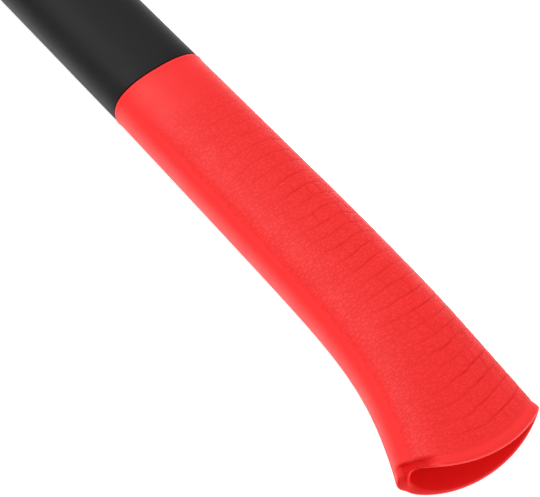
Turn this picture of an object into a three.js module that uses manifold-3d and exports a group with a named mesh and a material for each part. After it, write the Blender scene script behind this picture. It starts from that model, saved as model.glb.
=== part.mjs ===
// A pick head fire axe with a fibreglass handle, lying on its side.
//
// Frame, in millimetres: +X runs along the handle from the head to the butt, -Y is the blade side,
// +Y is the pick side and +Z is up, through the head's cheeks. The origin is on the surface that the
// axe lies on, below the middle of its outline.

import * as THREE from 'three';
import { mergeVertices } from 'three/addons/utils/BufferGeometryUtils.js';
import Module from 'manifold-3d';

const wasm = await Module();
wasm.setup();

// ---------------------------------------------------------------- driving dimensions

const OVERALL_LENGTH = 900;
const BLADE_REACH = 165;            // handle axis to the middle of the cutting edge
const PICK_REACH = 165;             // handle axis to the pick's tip
const HEAD_THICKNESS = 36;          // across the cheeks
const FIT_GAP = 0.3;                // between neighbouring pieces

const SHAFT_HALF_WIDTH = 19;        // the oval shaft is 38 x 23 mm
const SHAFT_HALF_THICKNESS = 11.5;
const SHAFT_SQUARENESS = 2.48;      // exponent of the oval: 2 is an ellipse
const JACKET_WALL = 3;
const JACKET_REBATE = 2.5;          // cut back under the grip, so that the grip lies flush

const GRIP_LENGTH = 185;
const GRIP_WALL = 2.3;
const LIP_WALL = 1.5;
const BELLY_LIP_GROWTH = 7.4;       // the lip is this much thicker at its belly corner
const BACK_CURVE_START = 70;        // from the grip's top edge, as all the grip's stations are
const BACK_CURVE_RADIUS = 1760;
const BELLY_TAPER = 0.015;          // mm of width for each mm of length above the flare
const FLARE_START = 146;
const FLARE_SLOPE = 0.544;
const FLARE_BLEND = 13.3;
const BUTT_ARC_RADIUS = 42.4;
const BUTT_ARC_CENTRE_Y = -4.2;
const MOUTH_HALF_THICKNESS = 8.7;
const MOUTH_SQUARENESS = 2.33;
const MOUTH_EGG = 0.42;             // how much fuller the mouth is on the belly side
const SHAFT_END_IN_GRIP = 118;      // where the shaft ends inside the grip
const SEAL_THICKNESS = 4;

const EYE_HEIGHT = 72;              // length of the eye along the handle
const EYE_TOP_DROP = 4;             // the eye's top below the blade's toe
const EYE_MOUTH_HALF_WIDTH = 21;
const EYE_MOUTH_HALF_THICKNESS = 14;
const EYE_WAIST_HALF_WIDTH = 18.5;
const EYE_WAIST_HALF_THICKNESS = 12;
const EDGE_CHORD = 125;
const EDGE_ARC_RADIUS = 200;
const PIN_RADIUS = 3;

const GASKET_THICKNESS = 5;
const GASKET_OVERLAP = 1.4;         // beyond the shaft's surface, to just inside the eye's mouth
const COLLAR_LENGTH = 74;
const COLLAR_WALL = 3.8;
const COLLAR_RIB_HEIGHT = 1.2;
const COLLAR_RIBS = 4;

const SHAFT_SIDES = 48;
const EYE_SIDES = 32;
const HEAD_SIDES = 36;
const HEAD_CORNER_STEPS = 2;

// ---------------------------------------------------------------- derived places

const HEAD_TOP_X = -OVERALL_LENGTH / 2;
const BUTT_X = OVERALL_LENGTH / 2;
const GRIP_TOP_X = BUTT_X - GRIP_LENGTH;
const EYE_TOP_X = HEAD_TOP_X + EYE_TOP_DROP;
const EYE_BOTTOM_X = EYE_TOP_X + EYE_HEIGHT;
const EYE_MIDDLE_X = (EYE_TOP_X + EYE_BOTTOM_X) / 2;
const JACKET_TOP_X = EYE_BOTTOM_X + FIT_GAP + GASKET_THICKNESS + FIT_GAP;
const SHAFT_END_X = GRIP_TOP_X + SHAFT_END_IN_GRIP;
const MID_Z = HEAD_THICKNESS / 2;

// ---------------------------------------------------------------- shape helpers

function smoothStep(from, to, value) {
  const t = THREE.MathUtils.clamp((value - from) / (to - from), 0, 1);
  return t * t * (3 - 2 * t);
}

function softRamp(distance, blend) {
  return blend * Math.log1p(Math.exp(distance / blend));
}

function signedPower(value, exponent) {
  return Math.sign(value) * Math.abs(value) ** exponent;
}

// A point of an oval outline, as [across, up], for the half sizes and exponent of the oval.
function ovalPoint(angle, halfWidth, halfThickness, squareness) {
  const across = signedPower(Math.cos(angle), 2 / squareness);
  const up = signedPower(Math.sin(angle), 2 / squareness);
  return [halfWidth * across, halfThickness * up];
}

// A point of a flat bar's outline with round corners, as [across, up]. In each quarter turn the first
// vertices go round the corner, and the rest run along the flat side.
function flatBarPoint(angle, halfWidth, halfThickness, cornerRadius) {
  const quarter = Math.atan2(Math.abs(Math.sin(angle)), Math.abs(Math.cos(angle))) / (Math.PI / 2);
  const vertex = (quarter * HEAD_SIDES) / 4 - 0.5;
  const turn = Math.min(vertex / HEAD_CORNER_STEPS, 1) * (Math.PI / 2);
  const flatVertices = HEAD_SIDES / 4 - 0.5 - HEAD_CORNER_STEPS;
  const along = 1 - Math.max(0, vertex - HEAD_CORNER_STEPS) / flatVertices;
  const across = (halfWidth - cornerRadius) * along + cornerRadius * Math.cos(turn);
  const up = halfThickness - cornerRadius + cornerRadius * Math.sin(turn);
  return [Math.sign(Math.cos(angle)) * across, Math.sign(Math.sin(angle)) * up];
}

function evenSteps(from, to, count) {
  return Array.from({ length: count + 1 }, (_, step) => from + ((to - from) * step) / count);
}

// Moves each vertex of a lathe or cylinder shape, whose axis is Y, to place(station, angle, reach).
function sculpt(geometry, place) {
  const position = geometry.attributes.position;
  for (let index = 0; index < position.count; index += 1) {
    const across = position.getZ(index);
    const up = position.getX(index);
    const reach = Math.hypot(across, up);
    const angle = reach < 1e-6 ? 0 : Math.atan2(up, across);
    position.setXYZ(index, ...place(position.getY(index), angle, reach));
  }
  geometry.deleteAttribute('normal');
  geometry.deleteAttribute('uv');
  const merged = mergeVertices(geometry, 1e-4);
  merged.computeVertexNormals();
  return merged;
}

// A solid bar through the sections that place(station, angle) gives, with flat ends.
function bar(stations, sides, place) {
  const last = stations.length - 1;
  const halfStep = Math.PI / sides;
  const blank = new THREE.CylinderGeometry(1, 1, last, sides, last, false, halfStep);
  return sculpt(blank, (height, angle, reach) => {
    const station = stations[Math.round(height + last / 2)];
    if (reach > 0.5) {
      return place(station, angle);
    }
    const opposite = [place(station, halfStep), place(station, halfStep + Math.PI)];
    return opposite[0].map((value, axis) => (value + opposite[1][axis]) / 2);
  });
}

// An open tube whose wall lies between place(station, angle, false) and place(station, angle, true).
function tube(stations, sides, place) {
  const profile = stations.map((_, step) => new THREE.Vector2(2, step));
  for (let step = stations.length - 1; step >= 0; step -= 1) {
    profile.push(new THREE.Vector2(1, step));
  }
  profile.push(profile[0].clone());
  const blank = new THREE.LatheGeometry(profile, sides);
  return sculpt(blank, (height, angle, reach) => place(stations[Math.round(height)], angle, reach > 1.5));
}

function toSolid(geometry) {
  return new wasm.Manifold(new wasm.Mesh({
    numProp: 3,
    vertProperties: new Float32Array(geometry.attributes.position.array),
    triVerts: new Uint32Array(geometry.index.array),
  }));
}

function toGeometry(solid) {
  const mesh = solid.getMesh();
  const geometry = new THREE.BufferGeometry();
  geometry.setAttribute('position', new THREE.BufferAttribute(mesh.vertProperties, 3));
  geometry.setIndex(new THREE.BufferAttribute(mesh.triVerts, 1));
  geometry.computeVertexNormals();
  return geometry;
}

function cut(geometry, ...cutters) {
  return toGeometry(cutters.reduce((solid, cutter) => solid.subtract(toSolid(cutter)), toSolid(geometry)));
}

// ---------------------------------------------------------------- sections along the handle

// A point on the plain oval shaft, set in from its surface by inset.
function shaftPoint(x, angle, inset) {
  const [across, up] = ovalPoint(
    angle, SHAFT_HALF_WIDTH - inset, SHAFT_HALF_THICKNESS - inset, SHAFT_SQUARENESS);
  return [x, across, MID_Z + up];
}

// The grip's section at a station from its top edge.
function gripSection(station) {
  const backCurve = Math.max(0, station - BACK_CURVE_START) ** 2 / (2 * BACK_CURVE_RADIUS);
  const back = SHAFT_HALF_WIDTH - backCurve;
  const belly = SHAFT_HALF_WIDTH + BELLY_TAPER * station
    + FLARE_SLOPE * softRamp(station - FLARE_START, FLARE_BLEND);
  const flare = smoothStep(FLARE_START - 20, GRIP_LENGTH, station);
  return {
    centre: (back - belly) / 2,
    halfWidth: (back + belly) / 2,
    halfThickness: THREE.MathUtils.lerp(SHAFT_HALF_THICKNESS, MOUTH_HALF_THICKNESS, flare),
    squareness: THREE.MathUtils.lerp(SHAFT_SQUARENESS, MOUTH_SQUARENESS, flare),
    egg: MOUTH_EGG * flare,
  };
}

function gripOutline(station, angle, inset) {
  const section = gripSection(station);
  const [across, up] = ovalPoint(angle, 1, 1, section.squareness);
  const fullness = 1 - section.egg * across;
  return [
    section.centre + (section.halfWidth - inset) * across,
    (section.halfThickness * fullness - inset) * up,
  ];
}

// How far the curved butt falls short of the grip's full length at a distance across it.
function buttDrop(across) {
  const offset = across - BUTT_ARC_CENTRE_Y;
  return BUTT_ARC_RADIUS - Math.sqrt(BUTT_ARC_RADIUS ** 2 - offset ** 2);
}

function gripWall(station, angle) {
  const towardLip = smoothStep(GRIP_LENGTH - 24, GRIP_LENGTH - 3, station);
  const lipWall = LIP_WALL + BELLY_LIP_GROWTH * Math.max(0, -Math.cos(angle)) ** 6;
  return THREE.MathUtils.lerp(GRIP_WALL, lipWall, towardLip);
}

// The grip's stations are sheared near the butt, so that the last one follows the butt's arc.
function gripPoint(station, angle, outer) {
  const inset = outer ? 0 : gripWall(station, angle);
  const share = smoothStep(SHAFT_END_IN_GRIP - 30, GRIP_LENGTH, station);
  let along = station;
  for (let pass = 0; pass < 4; pass += 1) {
    const [across] = gripOutline(along, angle, 0);
    along = station - share * buttDrop(across);
  }
  let [across, up] = gripOutline(along, angle, inset);
  if (!outer) {
    const [, boreAcross, boreUp] = shaftPoint(0, angle, JACKET_REBATE - FIT_GAP);
    const open = smoothStep(SHAFT_END_IN_GRIP + SEAL_THICKNESS, SHAFT_END_IN_GRIP + 22, station);
    across = THREE.MathUtils.lerp(boreAcross, across, open);
    up = THREE.MathUtils.lerp(boreUp - MID_Z, up, open);
  }
  return [GRIP_TOP_X + along, across, MID_Z + up];
}

// ---------------------------------------------------------------- the head's sections

// Stations run across the head from the pick's tip at +Y to the cutting edge at -Y. Each gives the top
// and bottom edges below the blade's toe, the half thickness and the corner radius.
const HEAD_STATIONS = [
  { y: PICK_REACH, top: 50, bottom: 53, half: 1.5, corner: 0.7 },
  { y: 158, top: 46.5, bottom: 55.5, half: 3.2, corner: 1.2 },
  { y: 140, top: 40, bottom: 59, half: 5.6, corner: 2 },
  { y: 110, top: 32, bottom: 61.5, half: 8.6, corner: 3 },
  { y: 80, top: 25.5, bottom: 63, half: 11.2, corner: 3.5 },
  { y: 58, top: 20, bottom: 64.5, half: 13.2, corner: 4 },
  { y: 44, top: 14, bottom: 67.5, half: 15, corner: 4.5 },
  { y: 34, top: 6.5, bottom: 74, half: 17.2, corner: 4 },
  { y: 29, top: EYE_TOP_DROP, bottom: EYE_TOP_DROP + EYE_HEIGHT, half: HEAD_THICKNESS / 2, corner: 3 },
  { y: -29, top: EYE_TOP_DROP, bottom: EYE_TOP_DROP + EYE_HEIGHT, half: HEAD_THICKNESS / 2, corner: 3 },
  { y: -36, top: 5.5, bottom: 74.5, half: 16.4, corner: 4 },
  { y: -48, top: 8.5, bottom: 71.5, half: 12.8, corner: 4 },
  { y: -64, top: 9.5, bottom: 70.5, half: 9.8, corner: 3.5 },
  { y: -84, top: 8.5, bottom: 74, half: 7.8, corner: 3 },
  { y: -104, top: 6.8, bottom: 82, half: 6.2, corner: 2.5 },
  { y: -122, top: 4.6, bottom: 93, half: 5, corner: 2 },
  { y: -138, top: 2.2, bottom: 107, half: 4, corner: 1.5 },
  { y: -148, top: 0.8, bottom: 117.5, half: 3.2, corner: 1 },
  { y: -BLADE_REACH, top: 0, bottom: EDGE_CHORD, half: 0.5, corner: 0.3 },
];

const BLADE_ROOT_Y = -64;

function headPoint(station, angle) {
  const halfHeight = (station.bottom - station.top) / 2;
  const [across, up] = flatBarPoint(angle, halfHeight, station.half, station.corner);
  const share = smoothStep(-BLADE_ROOT_Y, BLADE_REACH, -station.y);
  const arcDrop = EDGE_ARC_RADIUS - Math.sqrt(EDGE_ARC_RADIUS ** 2 - across ** 2);
  return [
    HEAD_TOP_X + (station.top + station.bottom) / 2 + across,
    station.y + share * arcDrop,
    MID_Z + up,
  ];
}

// The eye narrows to a waist, so that the resin locks the handle in it.
function eyePoint(x, angle, inset) {
  const fromWaist = Math.abs(x - EYE_MIDDLE_X) / (EYE_HEIGHT / 2);
  const share = fromWaist ** 1.5;
  const [across, up] = ovalPoint(
    angle,
    THREE.MathUtils.lerp(EYE_WAIST_HALF_WIDTH, EYE_MOUTH_HALF_WIDTH, share) - inset,
    THREE.MathUtils.lerp(EYE_WAIST_HALF_THICKNESS, EYE_MOUTH_HALF_THICKNESS, share) - inset,
    SHAFT_SQUARENESS);
  return [x, across, MID_Z + up];
}

function pinHole() {
  return new THREE.CylinderGeometry(PIN_RADIUS + FIT_GAP, PIN_RADIUS + FIT_GAP, HEAD_THICKNESS * 2, 24)
    .rotateX(Math.PI / 2)
    .translate(EYE_MIDDLE_X, 0, MID_Z);
}

function cleaned(geometry) {
  geometry.deleteAttribute('normal');
  geometry.deleteAttribute('uv');
  return mergeVertices(geometry, 1e-4);
}

// ---------------------------------------------------------------- the pieces

function axeHead() {
  const forging = bar(HEAD_STATIONS, HEAD_SIDES, headPoint);
  const overrun = 6;
  const eyeStations = evenSteps(EYE_TOP_X - overrun, EYE_BOTTOM_X + overrun, 12);
  const eye = bar(eyeStations, EYE_SIDES, (x, angle) => eyePoint(x, angle, 0));
  return cut(forging, eye, cleaned(pinHole()));
}

function lockPin() {
  const stations = [0.4, 1, HEAD_THICKNESS - 1, HEAD_THICKNESS - 0.4];
  return bar(stations, 24, (z, angle) => {
    const radius = z === stations[0] || z === stations[3] ? PIN_RADIUS - 0.5 : PIN_RADIUS;
    return [EYE_MIDDLE_X + radius * Math.cos(angle), radius * Math.sin(angle), z];
  });
}

function epoxyBond() {
  const ring = tube(evenSteps(EYE_TOP_X + 1, EYE_BOTTOM_X - 1, 10), EYE_SIDES, (x, angle, outer) => (
    outer ? eyePoint(x, angle, FIT_GAP) : shaftPoint(x, angle, JACKET_WALL)));
  return cut(ring, cleaned(pinHole()));
}

function eyeGasket() {
  const stations = [EYE_BOTTOM_X + FIT_GAP, EYE_BOTTOM_X + FIT_GAP + GASKET_THICKNESS];
  return tube(stations, EYE_SIDES, (x, angle, outer) => (
    outer ? shaftPoint(x, angle, -GASKET_OVERLAP) : shaftPoint(x, angle, JACKET_WALL)));
}

function coreRod() {
  const stations = [EYE_TOP_X, EYE_TOP_X + 1.5, SHAFT_END_X];
  const rod = bar(stations, SHAFT_SIDES, (x, angle) => (
    shaftPoint(x, angle, JACKET_WALL + FIT_GAP + (x === stations[0] ? 1 : 0))));
  return cut(rod, cleaned(pinHole()));
}

function shaftJacket() {
  const rebateX = GRIP_TOP_X - FIT_GAP;
  const steps = [
    [JACKET_TOP_X, 0], [rebateX - 0.01, 0], [rebateX, JACKET_REBATE], [SHAFT_END_X, JACKET_REBATE],
  ];
  return tube(steps, SHAFT_SIDES, ([x, rebate], angle, outer) => (
    outer ? shaftPoint(x, angle, rebate) : shaftPoint(x, angle, JACKET_WALL)));
}

function overstrikeCollar() {
  const topX = JACKET_TOP_X + 1;
  const ribPitch = (COLLAR_LENGTH - 14) / COLLAR_RIBS;
  const rings = [[0, 1.5], [1.5, 0]];
  for (let rib = 0; rib < COLLAR_RIBS; rib += 1) {
    const start = 10 + rib * ribPitch;
    rings.push([start, 0], [start + 1.5, -COLLAR_RIB_HEIGHT]);
    rings.push([start + ribPitch * 0.5, -COLLAR_RIB_HEIGHT], [start + ribPitch * 0.5 + 1.5, 0]);
  }
  rings.push([COLLAR_LENGTH - 1.5, 0.2], [COLLAR_LENGTH, 1.5]);
  return tube(rings, EYE_SIDES, ([along, inset], angle, outer) => {
    const wall = THREE.MathUtils.lerp(COLLAR_WALL, COLLAR_WALL * 0.55, along / COLLAR_LENGTH);
    return shaftPoint(topX + along, angle, outer ? inset - wall : -FIT_GAP);
  });
}

function gripSleeve() {
  const plain = evenSteps(0, FLARE_START - 31, 3);
  const flared = evenSteps(FLARE_START - 31, GRIP_LENGTH, 12);
  return tube([...plain.slice(0, -1), ...flared], SHAFT_SIDES, gripPoint);
}

function endSeal() {
  const stations = [SHAFT_END_X + FIT_GAP, SHAFT_END_X + SEAL_THICKNESS - 1, SHAFT_END_X + SEAL_THICKNESS];
  return bar(stations, EYE_SIDES, (x, angle) => (
    shaftPoint(x, angle, JACKET_REBATE + (x === stations[2] ? 1 : 0))));
}

// ---------------------------------------------------------------- the assembly

const FINISHES = {
  painted_steel: { color: 0xb8191a, roughness: 0.35, metalness: 0.3 },
  pin_steel: { color: 0x9c9ea0, roughness: 0.35, metalness: 0.9 },
  resin: { color: 0xb9a25c, roughness: 0.3, metalness: 0 },
  foam_rubber: { color: 0x2a2b2c, roughness: 0.9, metalness: 0 },
  fibreglass: { color: 0xd8c98a, roughness: 0.5, metalness: 0 },
  black_polymer: { color: 0x1d1f1e, roughness: 0.45, metalness: 0 },
  black_rubber: { color: 0x161616, roughness: 0.8, metalness: 0 },
  red_grip: { color: 0xf02a26, roughness: 0.5, metalness: 0 },
  seal_polymer: { color: 0x1d1f1e, roughness: 0.6, metalness: 0 },
};

const PIECES = {
  axe_head: [axeHead, 'painted_steel'],
  lock_pin: [lockPin, 'pin_steel'],
  epoxy_bond: [epoxyBond, 'resin'],
  eye_gasket: [eyeGasket, 'foam_rubber'],
  core_rod: [coreRod, 'fibreglass'],
  shaft_jacket: [shaftJacket, 'black_polymer'],
  overstrike_collar: [overstrikeCollar, 'black_rubber'],
  grip_sleeve: [gripSleeve, 'red_grip'],
  end_seal: [endSeal, 'seal_polymer'],
};

const axe = new THREE.Group();
for (const [name, [makeGeometry, finish]] of Object.entries(PIECES)) {
  const mesh = new THREE.Mesh(makeGeometry(), new THREE.MeshStandardMaterial(FINISHES[finish]));
  mesh.name = name;
  axe.add(mesh);
}

export default axe;
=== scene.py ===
"""Builds the fine pieces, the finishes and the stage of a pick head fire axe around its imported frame."""

import math

import bmesh
import bpy
from mathutils import Euler, Matrix, Vector, noise


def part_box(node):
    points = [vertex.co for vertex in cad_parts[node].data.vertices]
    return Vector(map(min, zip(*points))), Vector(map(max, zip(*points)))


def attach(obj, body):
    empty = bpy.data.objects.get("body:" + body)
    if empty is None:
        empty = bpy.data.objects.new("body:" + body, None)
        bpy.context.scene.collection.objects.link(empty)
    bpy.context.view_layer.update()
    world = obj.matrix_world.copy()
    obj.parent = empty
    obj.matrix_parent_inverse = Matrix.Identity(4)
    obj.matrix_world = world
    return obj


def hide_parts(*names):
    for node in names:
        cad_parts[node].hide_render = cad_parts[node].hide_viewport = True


bl_info = {
    "name": "Pick Head Fire Axe",
    "version": (1, 0, 0),
    "blender": (4, 5, 0),
    "location": "View3D > Sidebar > Fire Axe",
    "description": "Builds the head, handle, grip and stage of a pick head fire axe",
    "category": "Object",
}

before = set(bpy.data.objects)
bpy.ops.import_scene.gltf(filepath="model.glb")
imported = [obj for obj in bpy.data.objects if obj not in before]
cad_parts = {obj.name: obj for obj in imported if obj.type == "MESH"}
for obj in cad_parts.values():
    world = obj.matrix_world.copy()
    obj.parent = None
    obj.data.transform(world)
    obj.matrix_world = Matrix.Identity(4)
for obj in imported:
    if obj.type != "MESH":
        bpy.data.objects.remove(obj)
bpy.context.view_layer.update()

BODY = "root"
MM = 0.001


# ---------------------------------------------------------------- places read from the frame, in mm

def node_box(name):
    """Gives a frame node's lowest and highest corners in millimetres."""
    low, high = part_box(name)
    return [value / MM for value in low], [value / MM for value in high]


GRIP_LOW, GRIP_HIGH = node_box("grip_sleeve")
JACKET_LOW, JACKET_HIGH = node_box("shaft_jacket")
HEAD_LOW, HEAD_HIGH = node_box("axe_head")
CORE_LOW, CORE_HIGH = node_box("core_rod")
GASKET_LOW, GASKET_HIGH = node_box("eye_gasket")
COLLAR_LOW, COLLAR_HIGH = node_box("overstrike_collar")
SEAL_LOW, SEAL_HIGH = node_box("end_seal")
PIN_LOW, PIN_HIGH = node_box("lock_pin")

MID_Z = (HEAD_LOW[2] + HEAD_HIGH[2]) / 2
GRIP_TOP_X = GRIP_LOW[0]
GRIP_LENGTH = GRIP_HIGH[0] - GRIP_LOW[0]
SHAFT_HALF_WIDTH = (JACKET_HIGH[1] - JACKET_LOW[1]) / 2
SHAFT_HALF_THICKNESS = (JACKET_HIGH[2] - JACKET_LOW[2]) / 2
SHAFT_END_X = JACKET_HIGH[0]
SHAFT_END_IN_GRIP = SHAFT_END_X - GRIP_TOP_X
EYE_TOP_X = CORE_LOW[0]
EYE_BOTTOM_X = GASKET_LOW[0] - 0.3
EYE_MIDDLE_X = (EYE_TOP_X + EYE_BOTTOM_X) / 2
HEAD_TOP_X = HEAD_LOW[0]
HEAD_HALF = (HEAD_HIGH[2] - HEAD_LOW[2]) / 2
EDGE_CHORD = HEAD_HIGH[0] - HEAD_LOW[0]
PIN_RADIUS = (PIN_HIGH[1] - PIN_LOW[1]) / 2

# ---------------------------------------------------------------- shape values, in mm

SHAFT_SQUARENESS = 2.48
JACKET_WALL = 3.0
JACKET_REBATE = 2.5
FIT_GAP = 0.3

GRIP_WALL = 2.3
BACK_CURVE_START = 70.0
BACK_CURVE_RADIUS = 1760.0
BELLY_TAPER = 0.015
FLARE_START = 146.0
FLARE_SLOPE = 0.544
FLARE_BLEND = 13.3
BUTT_ARC_RADIUS = 42.4
BUTT_ARC_CENTRE_Y = -4.2
MOUTH_HALF_THICKNESS = 8.7
MOUTH_SQUARENESS = 2.33
MOUTH_EGG = 0.42
LIP_WALL = 1.5
BELLY_LIP_GROWTH = 4.2
MOUTH_DROP = 2.2
HOLLOW_DEPTH = 1.8
HOLLOW_WALL_SHARE = 0.35
CORNER_ROUNDING = 0.4
LIP_ROUNDING = 0.7
LIP_OVERHANG = 0.6
SHORT_CREASE_PITCH = 3.1

EYE_MOUTH_HALF = (21.0, 14.0)
EYE_WAIST_HALF = (18.5, 12.0)
EDGE_ARC_RADIUS = 200.0
BLADE_ROOT_Y = -64.0
HEAD_SIDES = 96
HEAD_CORNER_STEPS = 9


# ---------------------------------------------------------------- settings

class GripSettings(bpy.types.PropertyGroup):
    colour: bpy.props.FloatVectorProperty(
        name="Grip colour", description="Colour of the soft rubber", subtype="COLOR",
        size=3, min=0.0, max=1.0, default=(0.94, 0.0125, 0.0115))
    # Painted shade: the darker colour blended into the creases, the grain's grooves and the hollow beside
    # the lip.
    crease_shade_colour: bpy.props.FloatVectorProperty(
        name="Crease colour", description="Colour deep in the creases of the grain", subtype="COLOR",
        size=3, min=0.0, max=1.0, default=(0.68, 0.003, 0.003))
    crease_pitch: bpy.props.FloatProperty(
        name="Crease pitch", description="Distance between the creases across the grip",
        unit="LENGTH", default=0.0055)
    crease_depth: bpy.props.FloatProperty(
        name="Crease depth", description="Depth of the creases across the grip",
        unit="LENGTH", default=0.00018)
    grain_pitch: bpy.props.FloatProperty(
        name="Grain pitch", description="Size of the fine cells between the creases",
        unit="LENGTH", default=0.00105)


class ShaftSettings(bpy.types.PropertyGroup):
    colour: bpy.props.FloatVectorProperty(
        name="Shaft colour", description="Colour of the polymer jacket", subtype="COLOR",
        size=3, min=0.0, max=1.0, default=(0.0055, 0.0064, 0.0055))
    rubber_colour: bpy.props.FloatVectorProperty(
        name="Collar colour", description="Colour of the rubber collar and gasket", subtype="COLOR",
        size=3, min=0.0, max=1.0, default=(0.02, 0.02, 0.02))


class HeadSettings(bpy.types.PropertyGroup):
    paint: bpy.props.FloatVectorProperty(
        name="Paint colour", description="Colour of the enamel on the head", subtype="COLOR",
        size=3, min=0.0, max=1.0, default=(0.5, 0.012, 0.01))
    steel: bpy.props.FloatVectorProperty(
        name="Steel colour", description="Colour of the ground steel", subtype="COLOR",
        size=3, min=0.0, max=1.0, default=(0.58, 0.58, 0.57))
    ground_width: bpy.props.FloatProperty(
        name="Ground width", description="Width of the bare steel along the cutting edge",
        unit="LENGTH", default=0.02)


class StageSettings(bpy.types.PropertyGroup):
    floor_colour: bpy.props.FloatVectorProperty(
        name="Floor colour", description="Colour of the plain floor", subtype="COLOR",
        size=3, min=0.0, max=1.0, default=(0.93, 0.93, 0.93))
    floor_glow: bpy.props.FloatProperty(
        name="Floor glow", description="Light that the lit studio table gives", default=0.75)
    sky_strength: bpy.props.FloatProperty(
        name="Sky strength", description="Brightness of the even studio light", default=0.73)
    key_power: bpy.props.FloatProperty(
        name="Key power", description="Power of the main soft light", unit="POWER", default=15.0)
    lens: bpy.props.FloatProperty(
        name="Lens", description="Focal length of the camera", default=117.2)


# ---------------------------------------------------------------- shape helpers

def smooth_step(start, end, value):
    share = min(max((value - start) / (end - start), 0.0), 1.0)
    return share * share * (3.0 - 2.0 * share)


def lerp(start, end, share):
    return start + (end - start) * share


def bell(value, centre, width):
    return math.exp(-(((value - centre) / width) ** 2))


def signed_power(value, exponent):
    return math.copysign(abs(value) ** exponent, value)


def even_steps(start, end, count):
    return [lerp(start, end, step / count) for step in range(count + 1)]


def oval_point(angle, half_width, half_thickness, squareness):
    """Gives a point of an oval outline as (across, up)."""
    across = half_width * signed_power(math.cos(angle), 2.0 / squareness)
    up = half_thickness * signed_power(math.sin(angle), 2.0 / squareness)
    return across, up


def oval_normal(angle, half_width, half_thickness, squareness):
    """Gives the outward direction at a point of an oval outline as (across, up)."""
    exponent = 2.0 - 2.0 / squareness
    across = signed_power(math.cos(angle), exponent) / half_width
    up = signed_power(math.sin(angle), exponent) / half_thickness
    length = math.hypot(across, up)
    return across / length, up / length


def even_oval_angles(count, half_width, half_thickness, squareness):
    """Gives the angles that divide an oval outline into even lengths, from angle 0."""
    fine = 16 * count
    points = [
        oval_point(2 * math.pi * step / fine, half_width, half_thickness, squareness)
        for step in range(fine + 1)
    ]
    lengths = [0.0]
    for before, after in zip(points, points[1:]):
        lengths.append(lengths[-1] + math.dist(before, after))
    angles = []
    step = 0
    for index in range(count):
        wanted = lengths[-1] * index / count
        while lengths[step + 1] < wanted:
            step += 1
        share = (wanted - lengths[step]) / (lengths[step + 1] - lengths[step])
        angles.append(2 * math.pi * (step + share) / fine)
    return angles


def even_angles(count):
    return [2 * math.pi * index / count for index in range(count)]


def ring_edges(mesh, ring_tag, ring):
    return [
        edge for edge in mesh.edges
        if edge.is_boundary and all(vertex[ring_tag] == ring for vertex in edge.verts)
    ]


def grow_rings(mesh, angles, rings, place, closed):
    """Extrudes a circle through the rings, closes its ends and moves each vertex to place(ring, angle).

    A closed shape joins its last ring to its first. Any other shape gets a flat cap on each end.
    """
    ring_tag = mesh.verts.layers.int.new("ring")
    place_tag = mesh.verts.layers.int.new("place")
    sides = len(angles)
    for vertex in bmesh.ops.create_circle(mesh, segments=sides, radius=1.0)["verts"]:
        turn = math.atan2(vertex.co.y, vertex.co.x) / (2 * math.pi)
        vertex[place_tag] = round(turn * sides) % sides
    edges = list(mesh.edges)
    for ring in range(1, len(rings)):
        grown = bmesh.ops.extrude_edge_only(mesh, edges=edges)["geom"]
        for part in grown:
            if isinstance(part, bmesh.types.BMVert):
                part[ring_tag] = ring
        edges = [part for part in grown if isinstance(part, bmesh.types.BMEdge) and part.is_boundary]
    for vertex in mesh.verts:
        vertex.co = Vector(place(rings[vertex[ring_tag]], angles[vertex[place_tag]])) * MM
    first = ring_edges(mesh, ring_tag, 0)
    last = ring_edges(mesh, ring_tag, len(rings) - 1)
    if closed:
        bmesh.ops.bridge_loops(mesh, edges=first + last)
    else:
        bmesh.ops.holes_fill(mesh, edges=first + last, sides=0)
    bmesh.ops.recalc_face_normals(mesh, faces=mesh.faces)
    if mesh.calc_volume(signed=True) < 0:
        bmesh.ops.reverse_faces(mesh, faces=mesh.faces)


def make_object(name, mesh, sharp_angle=35.0):
    """Turns a bmesh into a smooth shaded object with sharp edges above an angle in degrees."""
    data = bpy.data.meshes.new(name)
    mesh.to_mesh(data)
    mesh.free()
    data.shade_smooth()
    data.set_sharp_from_angle(angle=math.radians(sharp_angle))
    piece = bpy.data.objects.new(name, data)
    bpy.context.scene.collection.objects.link(piece)
    return piece


def grown_object(name, angles, rings, place, closed=False, sharp_angle=35.0):
    mesh = bmesh.new()
    grow_rings(mesh, angles, rings, place, closed)
    return make_object(name, mesh, sharp_angle)


def settle(piece, node, material):
    """Gives a finished piece its material and its body, and hides the frame node that it stands for."""
    piece.data.materials.clear()
    piece.data.materials.append(material)
    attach(piece, BODY)
    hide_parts(node)


def apply_cuts(piece, cutters):
    """Cuts other objects out of a piece and removes them."""
    for cutter in cutters:
        cut = piece.modifiers.new("cut", "BOOLEAN")
        cut.operation = "DIFFERENCE"
        cut.solver = "EXACT"
        cut.object = cutter
    evaluated = piece.evaluated_get(bpy.context.evaluated_depsgraph_get())
    data = bpy.data.meshes.new_from_object(evaluated)
    piece.modifiers.clear()
    piece.data = data
    for cutter in cutters:
        bpy.data.objects.remove(cutter, do_unlink=True)
    data.shade_smooth()
    data.set_sharp_from_angle(angle=math.radians(30.0))


# ---------------------------------------------------------------- material helpers

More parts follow.
